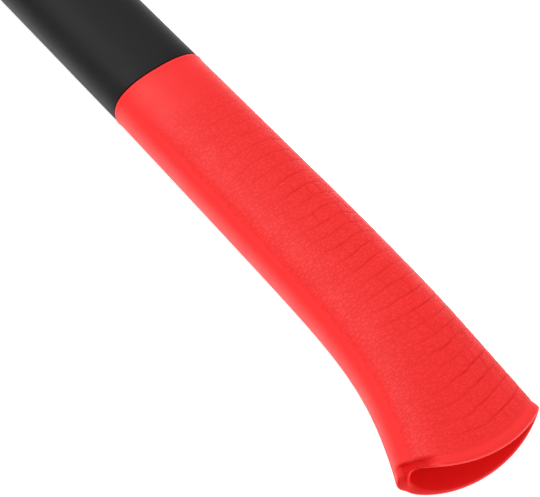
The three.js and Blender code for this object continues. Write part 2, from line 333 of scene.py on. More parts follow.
class Finish:
    """A node material with short calls for the nodes that the finishes share."""

    def __init__(self, name):
        self.material = bpy.data.materials.new(name)
        self.material.use_nodes = True
        self.tree = self.material.node_tree
        self.shader = self.tree.nodes["Principled BSDF"]
        self.place = self.tree.nodes.new("ShaderNodeTexCoord").outputs["Object"]

    def set(self, **values):
        for name, value in values.items():
            self.shader.inputs[name.replace("_", " ")].default_value = value

    def feed(self, name, output):
        self.tree.links.new(output, self.shader.inputs[name])

    def node(self, kind, inputs=None, **settings):
        made = self.tree.nodes.new(kind)
        for name, value in settings.items():
            setattr(made, name, value)
        for key, value in (inputs or {}).items():
            if isinstance(value, bpy.types.NodeSocket):
                self.tree.links.new(value, made.inputs[key])
            else:
                made.inputs[key].default_value = value
        return made

    def stretched(self, along, across, up):
        """Object coordinates counted in cells of these sizes in mm along X, Y and Z."""
        scale = (1 / (along * MM), 1 / (across * MM), 1 / (up * MM))
        return self.node("ShaderNodeMapping", {"Vector": self.place, "Scale": scale}).outputs["Vector"]

    def noise(self, vector, detail=3.0, roughness=0.5):
        made = self.node("ShaderNodeTexNoise", {
            "Vector": vector, "Scale": 1.0, "Detail": detail, "Roughness": roughness})
        return made.outputs["Fac"]

    def cell_edges(self, vector):
        made = self.node(
            "ShaderNodeTexVoronoi", {"Vector": vector, "Scale": 1.0}, feature="DISTANCE_TO_EDGE")
        return made.outputs["Distance"]

    def attribute(self, name):
        return self.node("ShaderNodeAttribute", attribute_name=name).outputs["Fac"]

    def remap(self, value, from_low, from_high, to_low, to_high, smooth=False):
        made = self.node("ShaderNodeMapRange", {
            "Value": value, "From Min": from_low, "From Max": from_high,
            "To Min": to_low, "To Max": to_high},
            interpolation_type="SMOOTHSTEP" if smooth else "LINEAR")
        return made.outputs["Result"]

    def maths(self, operation, first, second=0.0):
        return self.node("ShaderNodeMath", {0: first, 1: second}, operation=operation).outputs["Value"]

    def blend_colour(self, share, low, high):
        made = self.node("ShaderNodeMix", {"Factor": share}, data_type="RGBA")
        for socket, value in ((made.inputs[6], low), (made.inputs[7], high)):
            if isinstance(value, bpy.types.NodeSocket):
                self.tree.links.new(value, socket)
            else:
                socket.default_value = (*value, 1.0)
        return made.outputs[2]

    def bump(self, height, depth, strength=1.0, below=None):
        inputs = {"Height": height, "Distance": depth * MM, "Strength": strength}
        if below is not None:
            inputs["Normal"] = below
        return self.node("ShaderNodeBump", inputs).outputs["Normal"]


# ---------------------------------------------------------------- finishes

def red_rubber(settings):
    """Soft satin rubber with painted shade darkening its creases, its lip hollow and the grooves of a fine
    leather grain on its panels.
    """
    finish = Finish("red_rubber")
    panel = finish.attribute("panel")
    # The crease attribute is painted shade, strongest in the creases and in the hollow beside the lip.
    crease = finish.attribute("crease")
    pitch = settings.grain_pitch / MM
    cells = finish.cell_edges(finish.stretched(pitch, pitch * 2.0, pitch * 3))
    lines = finish.remap(cells, 0.0, 0.2, 1.0, 0.0, smooth=True)
    lines = finish.maths("MULTIPLY", lines, panel)
    # Painted shade in the grain's grooves, a third of the way toward the crease shade colour.
    groove_shade = finish.maths("MULTIPLY", lines, 0.34)
    painted_shade = finish.maths("MAXIMUM", groove_shade, crease)
    mottle = finish.noise(finish.stretched(9, 9, 9), detail=4.0)
    # Random mottle adds a little darker tone of its own on top of the painted shade.
    share = finish.maths("ADD", painted_shade, finish.remap(mottle, 0.35, 0.7, 0.0, 0.1))
    finish.feed("Base Color", finish.blend_colour(share, settings.colour, settings.crease_shade_colour))
    finish.feed("Roughness", finish.remap(mottle, 0.3, 0.7, 0.46, 0.54))
    # The painted shade also lowers the specular in the creases and grooves.
    finish.feed("Specular IOR Level", finish.remap(painted_shade, 0.0, 1.0, 0.4, 0.12))
    pores = finish.noise(finish.stretched(0.35, 0.35, 0.35), detail=2.0)
    fine = finish.bump(pores, 0.012, 0.5)
    grained = finish.bump(finish.maths("MULTIPLY", lines, -1.0), 0.05, 0.8, fine)
    finish.feed("Normal", grained)
    return finish.material


def black_polymer(settings, name="black_polymer"):
    """Moulded satin polymer whose gloss is mottled."""
    finish = Finish(name)
    clouds = finish.noise(finish.stretched(26, 11, 11), detail=5.0, roughness=0.6)
    specks = finish.noise(finish.stretched(0.5, 0.5, 0.5), detail=2.0)
    scuffs = finish.noise(finish.stretched(40, 1.2, 1.2), detail=3.0)
    low = tuple(settings.colour)
    high = tuple(min(1.0, value * 1.5) for value in low)
    finish.feed("Base Color", finish.blend_colour(finish.remap(clouds, 0.35, 0.7, 0.0, 1.0), low, high))
    gloss = finish.maths("ADD", finish.remap(clouds, 0.3, 0.75, 0.46, 0.58),
                         finish.remap(scuffs, 0.6, 0.8, 0.0, 0.08))
    finish.feed("Roughness", gloss)
    finish.set(Specular_IOR_Level=0.18)
    finish.feed("Normal", finish.bump(specks, 0.02, 0.7, finish.bump(clouds, 0.05, 0.4)))
    return finish.material


def black_rubber(settings, name="black_rubber"):
    """Matte rubber with a dusty bloom."""
    finish = Finish(name)
    dust = finish.noise(finish.stretched(14, 14, 14), detail=6.0, roughness=0.65)
    grain = finish.noise(finish.stretched(0.7, 0.7, 0.7), detail=3.0)
    low = tuple(settings.rubber_colour)
    high = tuple(value * 2.2 for value in low)
    finish.feed("Base Color", finish.blend_colour(finish.remap(dust, 0.45, 0.75, 0.0, 1.0), low, high))
    finish.feed("Roughness", finish.remap(dust, 0.3, 0.7, 0.62, 0.8))
    finish.feed("Normal", finish.bump(grain, 0.05, 0.7))
    return finish.material


def enamelled_steel(settings):
    """Gloss enamel on forged steel, ground bright along the cutting edge and at the pick's tip."""
    finish = Finish("enamelled_steel")
    parts = finish.node("ShaderNodeSeparateXYZ", {"Vector": finish.place}).outputs
    flat = finish.node("ShaderNodeCombineXYZ", {"X": parts["X"], "Y": parts["Y"]}).outputs["Vector"]
    centre = ((HEAD_TOP_X + EDGE_CHORD / 2) * MM, (HEAD_LOW[1] + EDGE_ARC_RADIUS) * MM, 0.0)
    distance = finish.node("ShaderNodeVectorMath", {0: flat, 1: centre}, operation="DISTANCE")
    ragged = finish.noise(finish.stretched(3, 3, 3), detail=4.0)
    wander = finish.remap(ragged, 0.3, 0.7, -0.0012, 0.0012)
    reach = finish.maths("ADD", distance.outputs["Value"], wander)
    ground_start = EDGE_ARC_RADIUS * MM - settings.ground_width
    at_edge = finish.remap(reach, ground_start, ground_start + 0.0006, 0.0, 1.0)
    on_blade = finish.remap(parts["Y"], -0.11, -0.1, 1.0, 0.0)
    at_edge = finish.maths("MULTIPLY", at_edge, on_blade)
    tip = finish.maths("ADD", parts["Y"], wander)
    tip_start = (HEAD_HIGH[1] - 24) * MM
    at_tip = finish.remap(tip, tip_start, tip_start + 0.0006, 0.0, 1.0)
    chips = finish.noise(finish.stretched(5, 5, 5), detail=8.0, roughness=0.7)
    near_edge = finish.remap(reach, ground_start - 0.03, ground_start, 0.0, 0.12)
    chipped = finish.remap(finish.maths("ADD", chips, near_edge), 0.74, 0.76, 0.0, 1.0)
    bare = finish.maths("MAXIMUM", finish.maths("MAXIMUM", at_edge, at_tip), chipped)
    scratches = finish.noise(finish.stretched(0.25, 6, 6), detail=3.0)
    streaks = finish.noise(finish.stretched(40, 0.6, 3), detail=4.0)
    steel_dark = tuple(value * 0.72 for value in settings.steel)
    scratched = finish.remap(scratches, 0.3, 0.7, 0.0, 1.0)
    steel = finish.blend_colour(scratched, steel_dark, tuple(settings.steel))
    paint_dark = tuple(value * 0.8 for value in settings.paint)
    peel = finish.noise(finish.stretched(2.2, 2.2, 2.2), detail=2.0)
    stains = finish.noise(finish.stretched(22, 22, 22), detail=5.0)
    stained = finish.remap(stains, 0.3, 0.7, 0.0, 1.0)
    paint = finish.blend_colour(stained, tuple(settings.paint), paint_dark)
    finish.feed("Base Color", finish.blend_colour(bare, paint, steel))
    finish.feed("Metallic", bare)
    paint_gloss = finish.remap(stains, 0.3, 0.7, 0.24, 0.36)
    steel_gloss = finish.remap(streaks, 0.3, 0.7, 0.26, 0.4)
    gloss = finish.node("ShaderNodeMix", {"Factor": bare}, data_type="FLOAT")
    finish.tree.links.new(paint_gloss, gloss.inputs[2])
    finish.tree.links.new(steel_gloss, gloss.inputs[3])
    finish.feed("Roughness", gloss.outputs[0])
    peeled = finish.bump(peel, 0.03, 0.35)
    layered = finish.bump(finish.maths("MULTIPLY", bare, -1.0), 0.08, 0.6, peeled)
    ground = finish.bump(finish.maths("MULTIPLY", scratches, bare), 0.02, 0.8, layered)
    finish.feed("Normal", ground)
    return finish.material


def pin_steel(settings):
    """Bright turned steel with a trace of its grinding."""
    finish = Finish("pin_steel")
    rings = finish.noise(finish.stretched(0.4, 3, 3), detail=4.0)
    dark = tuple(value * 0.6 for value in settings.steel)
    finish.feed("Base Color", finish.blend_colour(rings, dark, tuple(settings.steel)))
    finish.feed("Roughness", finish.remap(rings, 0.3, 0.7, 0.25, 0.42))
    finish.set(Metallic=1.0)
    finish.feed("Normal", finish.bump(rings, 0.015, 0.6))
    return finish.material


def cast_resin():
    """Amber resin with small bubbles."""
    finish = Finish("cast_resin")
    bubbles = finish.cell_edges(finish.stretched(1.4, 1.4, 1.4))
    clouds = finish.noise(finish.stretched(6, 6, 6), detail=4.0)
    finish.feed("Base Color", finish.blend_colour(clouds, (0.28, 0.17, 0.05), (0.5, 0.34, 0.12)))
    finish.feed("Roughness", finish.remap(clouds, 0.3, 0.7, 0.14, 0.26))
    finish.set(Coat_Weight=0.4, Coat_Roughness=0.1)
    finish.feed("Normal", finish.bump(bubbles, 0.08, 0.35))
    return finish.material


def glass_fibre():
    """Sawn pultruded rod: fine fibre ends in pale resin."""
    finish = Finish("glass_fibre")
    ends = finish.node("ShaderNodeTexVoronoi", {
        "Vector": finish.stretched(6, 0.5, 0.5)}, feature="F1").outputs["Distance"]
    bundles = finish.noise(finish.stretched(30, 2.5, 2.5), detail=4.0)
    base = finish.blend_colour(bundles, (0.5, 0.42, 0.2), (0.74, 0.68, 0.44))
    fibre_ends = finish.remap(ends, 0.2, 0.6, 0.25, 0.0)
    finish.feed("Base Color", finish.blend_colour(fibre_ends, base, (0.35, 0.28, 0.12)))
    finish.feed("Roughness", finish.remap(bundles, 0.3, 0.7, 0.4, 0.58))
    finish.feed("Normal", finish.bump(ends, 0.05, 0.6))
    return finish.material


# ---------------------------------------------------------------- the grip

def soft_ramp(distance, blend):
    return blend * math.log1p(math.exp(distance / blend))


def grip_section(station):
    """Gives the grip's centre, half width, half thickness, squareness and egg at a station."""
    back = SHAFT_HALF_WIDTH - max(0.0, station - BACK_CURVE_START) ** 2 / (2 * BACK_CURVE_RADIUS)
    belly = SHAFT_HALF_WIDTH + BELLY_TAPER * station
    belly += FLARE_SLOPE * soft_ramp(station - FLARE_START, FLARE_BLEND)
    flare = smooth_step(FLARE_START - 20, GRIP_LENGTH, station)
    return (
        (back - belly) / 2,
        (back + belly) / 2,
        lerp(SHAFT_HALF_THICKNESS, MOUTH_HALF_THICKNESS, flare),
        lerp(SHAFT_SQUARENESS, MOUTH_SQUARENESS, flare),
        MOUTH_EGG * flare,
    )


def grip_outline(station, angle, inset):
    """Gives a point of the grip's section, set in from its surface, as (across, up)."""
    centre, half_width, half_thickness, squareness, egg = grip_section(station)
    share, rise = oval_point(angle, 1.0, 1.0, squareness)
    fullness = 1.0 - egg * share
    normal = oval_normal(angle, half_width, half_thickness * fullness, squareness)
    across = centre + half_width * share - inset * normal[0]
    up = half_thickness * fullness * rise - inset * normal[1]
    return across, up


def butt_drop(across):
    """How far the curved butt falls short of the grip's full length."""
    offset = across - BUTT_ARC_CENTRE_Y
    return BUTT_ARC_RADIUS - math.sqrt(BUTT_ARC_RADIUS ** 2 - offset ** 2)


def grip_point(station, angle, inset):
    """Gives a point of the grip in mm, with the last stations following the curve of the butt."""
    share = smooth_step(SHAFT_END_IN_GRIP - 30, GRIP_LENGTH, station)
    along = station
    for _ in range(4):
        across, _up = grip_outline(along, angle, 0.0)
        along = station - share * butt_drop(across)
    across, up = grip_outline(along, angle, inset)
    return GRIP_TOP_X + along, across, MID_Z + up


def panel_share(station, angle):
    """How much of the grain shows: all over the two wide faces, and none on the belly's smooth edge."""
    side = math.cos(angle)
    inside = smooth_step(-0.86, -0.7, side)
    ends = smooth_step(4, 34, station) * smooth_step(GRIP_LENGTH - 3, GRIP_LENGTH - 5.5, station)
    return inside * ends


def crease_share(station, angle, across, up, pitch):
    """How deep a crease is here, from 0 to 1: long ones across the grip, short ones between them."""
    face = 9.0 if up > 0 else 31.0
    wander = noise.noise(Vector((station / 30, across / 11, face)))
    ripple = noise.noise(Vector((station / 6, across / 3.5, face + 5)))
    count = station / pitch + 0.4 * wander + 0.06 * ripple
    band = math.floor(count)
    from_line = abs(count - round(count)) * pitch
    strength = 0.85 + 0.45 * noise.noise(Vector((round(count) * 3.7, across / 12, face)))
    long_crease = max(0.0, strength) * bell(from_line, 0.0, 0.3)
    shift = noise.noise(Vector((band * 5.3, face, 0.5))) * 3
    sway = 0.25 * noise.noise(Vector((station / 3, across / 5, face + 11)))
    rows = across / SHORT_CREASE_PITCH + shift + sway
    from_row = abs(rows - round(rows)) * SHORT_CREASE_PITCH
    kept = smooth_step(-0.1, 0.25, noise.noise(Vector((band * 2.1, round(rows) * 1.9, face + 2))))
    short_crease = 0.6 * kept * bell(from_row, 0.0, 0.36)
    toward_back = smooth_step(-0.62, 0.3, math.cos(angle))
    patchy = smooth_step(-0.5, 0.3, noise.noise(Vector((station / 25, across / 12, face + 20))))
    along = lerp(0.4, 1.0, smooth_step(6, 70, station))
    return min(1.0, max(long_crease, short_crease)) * toward_back * along * lerp(0.65, 1.0, patchy)


def corner_share(angle):
    """1 at the butt's belly corner, mostly on its upper side, and 0 elsewhere."""
    turn = math.degrees(angle)
    return smooth_step(110, 130, turn) * smooth_step(206, 184, turn)


def hollow_share(station, angle):
    """How deep the outside of the grip sinks into the hollow beside the rolled lip, from 0 to 1."""
    from_end = GRIP_LENGTH - station
    turn = math.degrees(angle)
    lip_line = lerp(1.6, -2.5, smooth_step(114, 136, turn))
    sunk = smooth_step(4.6, 3.0, from_end) * smooth_step(lip_line - 0.6, lip_line + 1.0, from_end)
    return sunk * corner_share(angle) * smooth_step(172, 158, turn)


def grip_relief(station, angle):
    """Height of the smooth relief in mm: bead, belly valley, lip, hollow, round corner, parting line."""
    side = math.cos(angle)
    from_end = GRIP_LENGTH - station
    height = 0.22 * bell(station, 0.9, 0.9)
    height -= 0.34 * bell(side, -0.84, 0.07) * smooth_step(2, 30, station)
    height -= 0.22 * bell(from_end, 3.2, 0.7) * smooth_step(-0.9, -0.6, side)
    wall = grip_wall(station) + belly_growth(station, angle)
    height -= HOLLOW_WALL_SHARE * wall * hollow_share(station, angle)
    height += 0.3 * bell(from_end, 0.5, 1.5)
    turn = math.degrees(angle)
    lower_corner = smooth_step(166, 192, turn) * smooth_step(236, 200, turn)
    height -= CORNER_ROUNDING * lower_corner * smooth_step(3.5, -0.6, from_end) ** 2
    if side < 0:
        height += 0.14 * bell(math.sin(angle), 0.0, 0.02) * smooth_step(120, 150, station)
    return height


def rim_hollow_share(angle, depth_share, wall):
    """How deep the butt's end sinks into that hollow, between the rolled lip and the belly's ridge."""
    ridge = lerp(1.0, smooth_step(0.0, 0.25, depth_share), smooth_step(154, 174, math.degrees(angle)))
    beside_lip = smooth_step(0.8, 2.0, (1 - depth_share) * wall)
    return corner_share(angle) * ridge * beside_lip


def near_lip(station):
    return smooth_step(GRIP_LENGTH - 24, GRIP_LENGTH - 3, station)


def belly_growth(station, angle):
    """How far, in mm, the mouth's belly end lies toward the back, which leaves a thick wall there."""
    return BELLY_LIP_GROWTH * max(0.0, -math.cos(angle)) ** 2 * near_lip(station)


def mouth_drop(station, angle):
    """How far, in mm, the mouth's belly end lies below the middle of the butt."""
    return MOUTH_DROP * max(0.0, -math.cos(angle)) ** 3 * near_lip(station)


def grip_wall(station):
    """Thickness of the grip's wall in mm, without the growth at the belly."""
    return lerp(GRIP_WALL, LIP_WALL, near_lip(station))


def make_grip(settings):
    """The flared rubber sleeve, open and hollow at the butt."""
    pitch = settings.crease_pitch / MM
    depth = settings.crease_depth / MM
    angles = even_oval_angles(224, SHAFT_HALF_WIDTH, SHAFT_HALF_THICKNESS, SHAFT_SQUARENESS)
    lip = LIP_ROUNDING
    lip_start = GRIP_LENGTH + LIP_OVERHANG - lip
    rings = [("out", station, 0.0) for station in [0.25, *even_steps(0.6, lip_start, 368)]]
    for step in range(1, 25):
        turn = math.pi * step / 24
        rings.append(("lip", lip_start + lip * math.sin(turn), (1 - math.cos(turn)) / 2))
    for station in even_steps(lip_start - 1, SHAFT_END_IN_GRIP + 22, 20):
        rings.append(("in", station, 1.0))
    for station in even_steps(SHAFT_END_IN_GRIP + 20, SHAFT_END_IN_GRIP + 5, 6):
        rings.append(("in", station, 1.0))
    rings.append(("in", 0.0, 1.0))
    rings.append(("out", 0.0, 0.1))
    panel_shares = {}
    crease_shares = {}
    hollow_depths_and_shade = {}
    for ring, (kind, station, depth_share) in enumerate(rings):
        for spot, angle in enumerate(angles):
            if kind == "out":
                across, up = grip_outline(station, angle, 0.0)
                panel = panel_share(station, angle)
                panel_shares[ring, spot] = panel
                crease_shares[ring, spot] = panel * crease_share(station, angle, across, up, pitch)
                hollow_depths_and_shade[ring, spot] = hollow_share(station, angle)
            elif kind == "lip":
                wall = grip_wall(station) + belly_growth(station, angle)
                hollow_depths_and_shade[ring, spot] = rim_hollow_share(angle, depth_share, wall)

    def place(ring, spot):
        kind, station, depth_share = rings[ring]
        angle = angles[spot]
        relief = grip_relief(station, angle) * smooth_step(0.5, 0.0, depth_share)
        sunk = crease_shares.get((ring, spot), 0.0) * depth
        wall = grip_wall(station)
        toward_back = depth_share * belly_growth(station, angle)
        if kind == "lip":
            station -= HOLLOW_DEPTH * hollow_depths_and_shade[ring, spot]
        x, across, up = grip_point(station, angle, depth_share * wall - relief + sunk)
        down = depth_share * mouth_drop(station, angle)
        point = (x, across + toward_back, up - down)
        if kind == "in":
            bore = shaft_point(0.0, angle, JACKET_REBATE - FIT_GAP)
            opened = smooth_step(SHAFT_END_IN_GRIP + 4, SHAFT_END_IN_GRIP + 22, station)
            point = (point[0], lerp(bore[1], point[1], opened), lerp(bore[2], point[2], opened))
        return point

    spots = list(range(len(angles)))
    piece = grown_object("grip", spots, list(range(len(rings))), place, closed=True)
    panels = piece.data.attributes.new("panel", "FLOAT", "POINT")
    creases = piece.data.attributes.new("crease", "FLOAT", "POINT")
    ring_tags = piece.data.attributes["ring"].data
    spot_tags = piece.data.attributes["place"].data
    for index in range(len(piece.data.vertices)):
        key = (ring_tags[index].value, spot_tags[index].value)
        panels.data[index].value = panel_shares.get(key, 0.0)
        # Painted shade: the crease attribute darkens the creases and, at full strength, the hollow beside
        # the rolled lip; the hollow values also sink the geometry.
        creases.data[index].value = max(crease_shares.get(key, 0.0), hollow_depths_and_shade.get(key, 0.0))
    settle(piece, "grip_sleeve", red_rubber(settings))


# ---------------------------------------------------------------- the shaft

def shaft_point(x, angle, inset):
    across, up = oval_point(
        angle, SHAFT_HALF_WIDTH - inset, SHAFT_HALF_THICKNESS - inset, SHAFT_SQUARENESS)
    return x, across, MID_Z + up


def shaft_angles(count):
    return even_oval_angles(count, SHAFT_HALF_WIDTH, SHAFT_HALF_THICKNESS, SHAFT_SQUARENESS)


def make_jacket(settings):
    """The polymer jacket, with its cut back end inside the grip."""
    top = JACKET_LOW[0]
    rebate = GRIP_TOP_X - FIT_GAP
    rings = [(top, 0.6), (top + 0.2, 0.2), (top + 0.8, 0.0)]
    rings += [(x, 0.0) for x in even_steps(top + 12, rebate - 6, 40)]
    rings += [(rebate - 0.5, 0.0), (rebate - 0.15, 0.1), (rebate, 0.4), (rebate, JACKET_REBATE)]
    rings += [(SHAFT_END_X, JACKET_REBATE), (SHAFT_END_X, JACKET_WALL), (top, JACKET_WALL)]
    piece = grown_object(
        "jacket", shaft_angles(160), rings, lambda ring, angle: shaft_point(ring[0], angle, ring[1]),
        closed=True)
    settle(piece, "shaft_jacket", black_polymer(settings))


def make_collar(settings):
    """The ribbed rubber collar below the head."""
    top = COLLAR_LOW[0]
    length = COLLAR_HIGH[0] - top
    wall = (COLLAR_HIGH[2] - COLLAR_LOW[2]) / 2 - SHAFT_HALF_THICKNESS
    rib_height = 1.2
    ribs = 4
    rib_start = 9.0
    rib_pitch = (length - 14.0) / ribs
    rings = []
    for step in range(9):
        turn = math.pi / 2 * step / 8
        rings.append((1.5 - 1.5 * math.cos(turn), 1.5 - 1.5 * math.sin(turn)))
    for along in even_steps(2.0, length - 1.8, 110):
        wave = (along - rib_start) / rib_pitch
        rib = 0.0
        if 0 <= wave <= ribs:
            rib = smooth_step(0.0, 0.16, wave % 1) * smooth_step(0.72, 0.56, wave % 1)
        rings.append((along, -rib * rib_height))
    for step in range(7):
        turn = math.pi / 2 * step / 6
        rings.append((length - 1.5 + 1.5 * math.sin(turn), 1.5 - 1.5 * math.cos(turn)))
    rings += [(length, None), (0.0, None)]

    def place(ring, angle):
        along, inset = ring
        if inset is None:
            return shaft_point(top + along, angle, -FIT_GAP)
        thickness = lerp(wall - rib_height, (wall - rib_height) * 0.55, along / length)
        return shaft_point(top + along, angle, inset - thickness)

    piece = grown_object("collar", shaft_angles(128), rings, place, closed=True)
    settle(piece, "overstrike_collar", black_rubber(settings))


def make_seal(settings):
    """The moulded cap over the shaft's cut end, with a shallow dish and a gate mark in its middle."""
    start = SEAL_LOW[0]
    end = SEAL_HIGH[0]
    outline = [(start, 0.0), (end - 0.8, 0.0), (end - 0.2, 0.3), (end, 0.9), (end, 2.2), (end - 0.9, 3.0)]
    outline += [(end - 0.9, 7.0), (end - 0.3, 7.3), (end - 0.3, 8.3)]

    def place(ring, angle):
        return shaft_point(ring[0], angle, JACKET_REBATE + ring[1])

    piece = grown_object("seal", shaft_angles(96), outline, place)
    settle(piece, "end_seal", black_polymer(settings, "seal_polymer"))


def make_core(settings):
    """The glass fibre core, whose sawn end shows in the eye."""
    start = CORE_LOW[0]
    end = CORE_HIGH[0]
    outline = [(start, 1.0), (start + 0.3, 0.4), (start + 1.2, 0.0), (end, 0.0)]

    def place(ring, angle):
        return shaft_point(ring[0], angle, JACKET_WALL + FIT_GAP + ring[1])

    piece = grown_object("core", shaft_angles(96), outline, place)
    settle(piece, "core_rod", glass_fibre())


# ---------------------------------------------------------------- the head

HEAD_STATIONS = (
    # y, top, bottom, half thickness, corner radius
    (165, 50, 53, 1.5, 0.7),
    (158, 46.5, 55.5, 3.2, 1.2),
    (140, 40, 59, 5.6, 2),
    (110, 32, 61.5, 8.6, 3),
    (80, 25.5, 63, 11.2, 3.5),
    (58, 20, 64.5, 13.2, 4),
    (44, 14, 67.5, 15, 4.5),
    (34, 6.5, 74, 17.2, 4),
    (29, 4, 76, 18, 3),
    (-29, 4, 76, 18, 3),
    (-36, 5.5, 74.5, 16.4, 4),
    (-48, 8.5, 71.5, 12.8, 4),
    (-64, 9.5, 70.5, 9.8, 3.5),
    (-84, 8.5, 74, 7.8, 3),
    (-104, 6.8, 82, 6.2, 2.5),
    (-122, 4.6, 93, 5, 2),
    (-138, 2.2, 107, 4, 1.5),
    (-148, 0.8, 117.5, 3.2, 1),
    (-165, 0, 125, 0.5, 0.3),
)


def smooth_between(rows, row, share):
    """Gives values between two rows that follow the rows beside them, without passing either row."""
    values = []
    for column in range(len(rows[0])):
        points = [rows[max(0, min(len(rows) - 1, row + shift))][column] for shift in (-1, 0, 1, 2)]
        slopes = []
        for index in (1, 2):
            before = points[index] - points[index - 1]
            after = points[index + 1] - points[index]
            slopes.append(0.0 if before * after <= 0 else 2 * before * after / (before + after))
        cube = share ** 3
        square = share ** 2
        value = (2 * cube - 3 * square + 1) * points[1] + (cube - 2 * square + share) * slopes[0]
        value += (3 * square - 2 * cube) * points[2] + (cube - square) * slopes[1]
        values.append(value)
    return values


def flat_bar_point(angle, half_width, half_thickness, corner):
    """Gives a point of a flat bar's outline with round corners, as (across, up)."""
    quarter = math.atan2(abs(math.sin(angle)), abs(math.cos(angle))) / (math.pi / 2)
    vertex = quarter * HEAD_SIDES / 4 - 0.5
    turn = min(vertex / HEAD_CORNER_STEPS, 1.0) * (math.pi / 2)
    flat_vertices = HEAD_SIDES / 4 - 0.5 - HEAD_CORNER_STEPS
    along = 1.0 - max(0.0, vertex - HEAD_CORNER_STEPS) / flat_vertices
    across = (half_width - corner) * along + corner * math.cos(turn)
    up = half_thickness - corner + corner * math.sin(turn)
    return math.copysign(across, math.cos(angle)), math.copysign(up, math.sin(angle))


def head_point(row, angle):
    y, top, bottom, half, corner = row
    across, up = flat_bar_point(angle, (bottom - top) / 2, half, corner)
    share = smooth_step(-BLADE_ROOT_Y, -HEAD_LOW[1], -y)
    arc_drop = EDGE_ARC_RADIUS - math.sqrt(EDGE_ARC_RADIUS ** 2 - across ** 2)
    return HEAD_TOP_X + (top + bottom) / 2 + across, y + share * arc_drop, MID_Z + up


def eye_point(x, angle, inset):
    """Gives a point of the eye, which narrows to a waist in its middle."""
    share = (abs(x - EYE_MIDDLE_X) / ((EYE_BOTTOM_X - EYE_TOP_X) / 2)) ** 1.5
    across, up = oval_point(
        angle,
        lerp(EYE_WAIST_HALF[0], EYE_MOUTH_HALF[0], share) - inset,
        lerp(EYE_WAIST_HALF[1], EYE_MOUTH_HALF[1], share) - inset,
        SHAFT_SQUARENESS)
    return x, across, MID_Z + up


def pin_point(ring, angle):
    z, radius = ring
    return EYE_MIDDLE_X + radius * math.cos(angle), radius * math.sin(angle), z


def pin_cutter(name):
    """A bar a little wider than the pin, which cuts the pin's hole."""
    radius = PIN_RADIUS + FIT_GAP
    return grown_object(name, even_angles(48), [(-HEAD_HALF, radius), (3 * HEAD_HALF, radius)], pin_point)


def make_head(settings):
    """The forged head with its blade, pick and eye."""
    rows = []
    for row in range(len(HEAD_STATIONS) - 1):
        steps = max(2, round(abs(HEAD_STATIONS[row][0] - HEAD_STATIONS[row + 1][0]) / 2.5))
        if HEAD_STATIONS[row][0] == -HEAD_STATIONS[row + 1][0]:
            steps = 1
        rows += [smooth_between(HEAD_STATIONS, row, step / steps) for step in range(steps)]
    rows.append(list(HEAD_STATIONS[-1]))
    angles = [2 * math.pi * (index + 0.5) / HEAD_SIDES for index in range(HEAD_SIDES)]
    piece = grown_object("head", angles, rows, head_point)
    overrun = 6.0
    eye = grown_object(
        "eye_cutter", shaft_angles(96), even_steps(EYE_TOP_X - overrun, EYE_BOTTOM_X + overrun, 28),
        lambda x, angle: eye_point(x, angle, 0.0))
    apply_cuts(piece, [eye, pin_cutter("pin_cutter")])
    settle(piece, "axe_head", enamelled_steel(settings))


def make_pin(settings):
    """The cross pin, with slightly domed ends."""
    low = PIN_LOW[2]
    high = PIN_HIGH[2]
    radius = PIN_RADIUS
    dome = [(0.0, 0.35), (0.08, 0.6), (0.22, 0.82), (0.5, 0.97), (1.0, 1.0)]
    rings = [(low + rise, radius * share) for rise, share in dome]
    rings += [(high - rise, radius * share) for rise, share in reversed(dome)]
    piece = grown_object("pin", even_angles(48), rings, pin_point)
    settle(piece, "lock_pin", pin_steel(settings))


def make_resin():
    """The resin that locks the core in the eye, with a hollowed meniscus at the top."""
    top = EYE_TOP_X + 1
    bottom = EYE_BOTTOM_X - 1
    rings = [("eye", top - 0.5), ("eye", top)]
    rings += [("eye", x) for x in even_steps(top + 4, bottom, 16)]
    rings += [("core", bottom), ("core", top - 0.2)]
    rings += [("between", share) for share in (0.12, 0.3, 0.5, 0.7, 0.88)]

    def place(ring, angle):
        kind, value = ring
        if kind == "eye":
            return eye_point(value, angle, FIT_GAP)
        if kind == "core":
            return shaft_point(value, angle, JACKET_WALL)
        inner = shaft_point(top - 0.2, angle, JACKET_WALL)
        outer = eye_point(top - 0.5, angle, FIT_GAP)
        sag = 0.9 * math.sin(math.pi * value)
        return (
            lerp(inner[0], outer[0], value) + sag,
            lerp(inner[1], outer[1], value),
            lerp(inner[2], outer[2], value),
        )

    piece = grown_object("resin", shaft_angles(96), rings, place, closed=True)
    apply_cuts(piece, [pin_cutter("resin_cutter")])
    settle(piece, "epoxy_bond", cast_resin())


def make_gasket(settings):
    """The soft dam under the eye, bulged where the head presses on it."""
    start = GASKET_LOW[0]
    thickness = GASKET_HIGH[0] - start
    proud = (GASKET_HIGH[2] - GASKET_LOW[2]) / 2 - SHAFT_HALF_THICKNESS
    rings = []
    for step in range(13):
        turn = math.pi * step / 12
        rings.append((start + thickness * (1 - math.cos(turn)) / 2, -proud + 0.9 * (1 - math.sin(turn))))
    rings += [(start + thickness, JACKET_WALL), (start, JACKET_WALL)]
    piece = grown_object(
        "gasket", shaft_angles(96), rings, lambda ring, angle: shaft_point(ring[0], angle, ring[1]),
        closed=True)
    settle(piece, "eye_gasket", black_rubber(settings, "gasket_foam"))


# ---------------------------------------------------------------- the stage

VIEW_AZIMUTH = math.radians(51.07)
VIEW_ELEVATION = math.radians(55.02)
VIEW_DISTANCE = 0.5893
VIEW_ROLL = math.radians(0.33)
AIM_ALONG_GRIP = 79.3
AIM_TOWARD_BELLY = 12.2


def plain_floor(settings):
    finish = Finish("plain_floor")
    finish.set(Base_Color=(*settings.floor_colour, 1.0), Roughness=0.9, Specular_IOR_Level=0.1)
    finish.set(Emission_Color=(1.0, 1.0, 1.0, 1.0), Emission_Strength=settings.floor_glow)
    return finish.material


